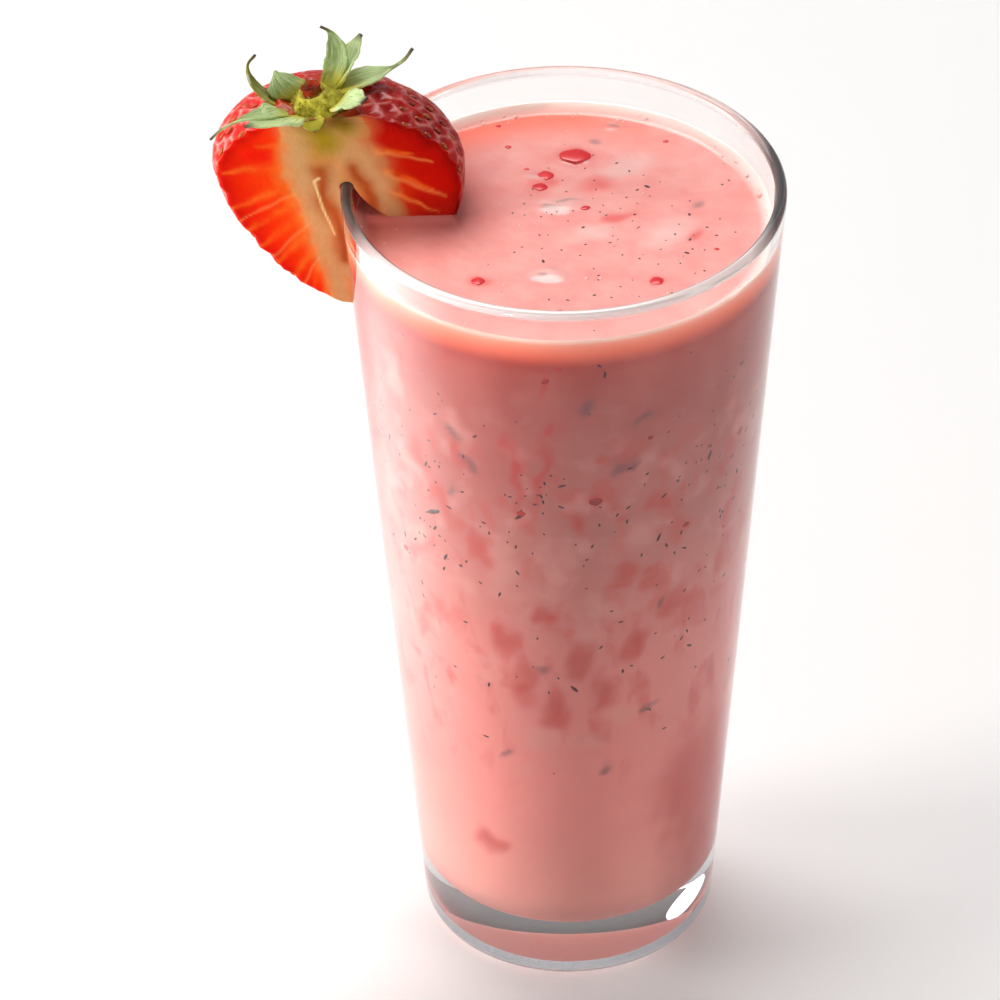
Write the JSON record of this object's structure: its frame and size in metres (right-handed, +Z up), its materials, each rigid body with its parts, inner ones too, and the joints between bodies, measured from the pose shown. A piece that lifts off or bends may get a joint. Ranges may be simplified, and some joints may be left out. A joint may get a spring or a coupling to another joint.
{
  "type": "strawberry smoothie",
  "caption": "Tall tapered glass of strawberry smoothie with a sliced strawberry slotted over its rim, calyx and stem stub still on.",
  "frame": {"origin": "middle of the glass's foot, on the plane that it stands on", "axes": "+Z up along the glass's axis; the strawberry is at the -X side of the rim and its cut face looks towards -Y"},
  "size_m": [0.0948, 0.0736, 0.1739],
  "materials": {
    "glass": "clear, polished",
    "smoothie": "thick, wet, flecked with seeds and fruit",
    "strawberry": "wet red skin, pale-veined cut face",
    "calyx": "leafy, veined, slightly hairy",
    "stem": "fibrous torn end"
  },
  "bodies": {
    "root": {"glass": "glass", "smoothie": "smoothie", "strawberry": "strawberry", "calyx": "calyx", "stem": "stem"}
  },
  "joints": []
}
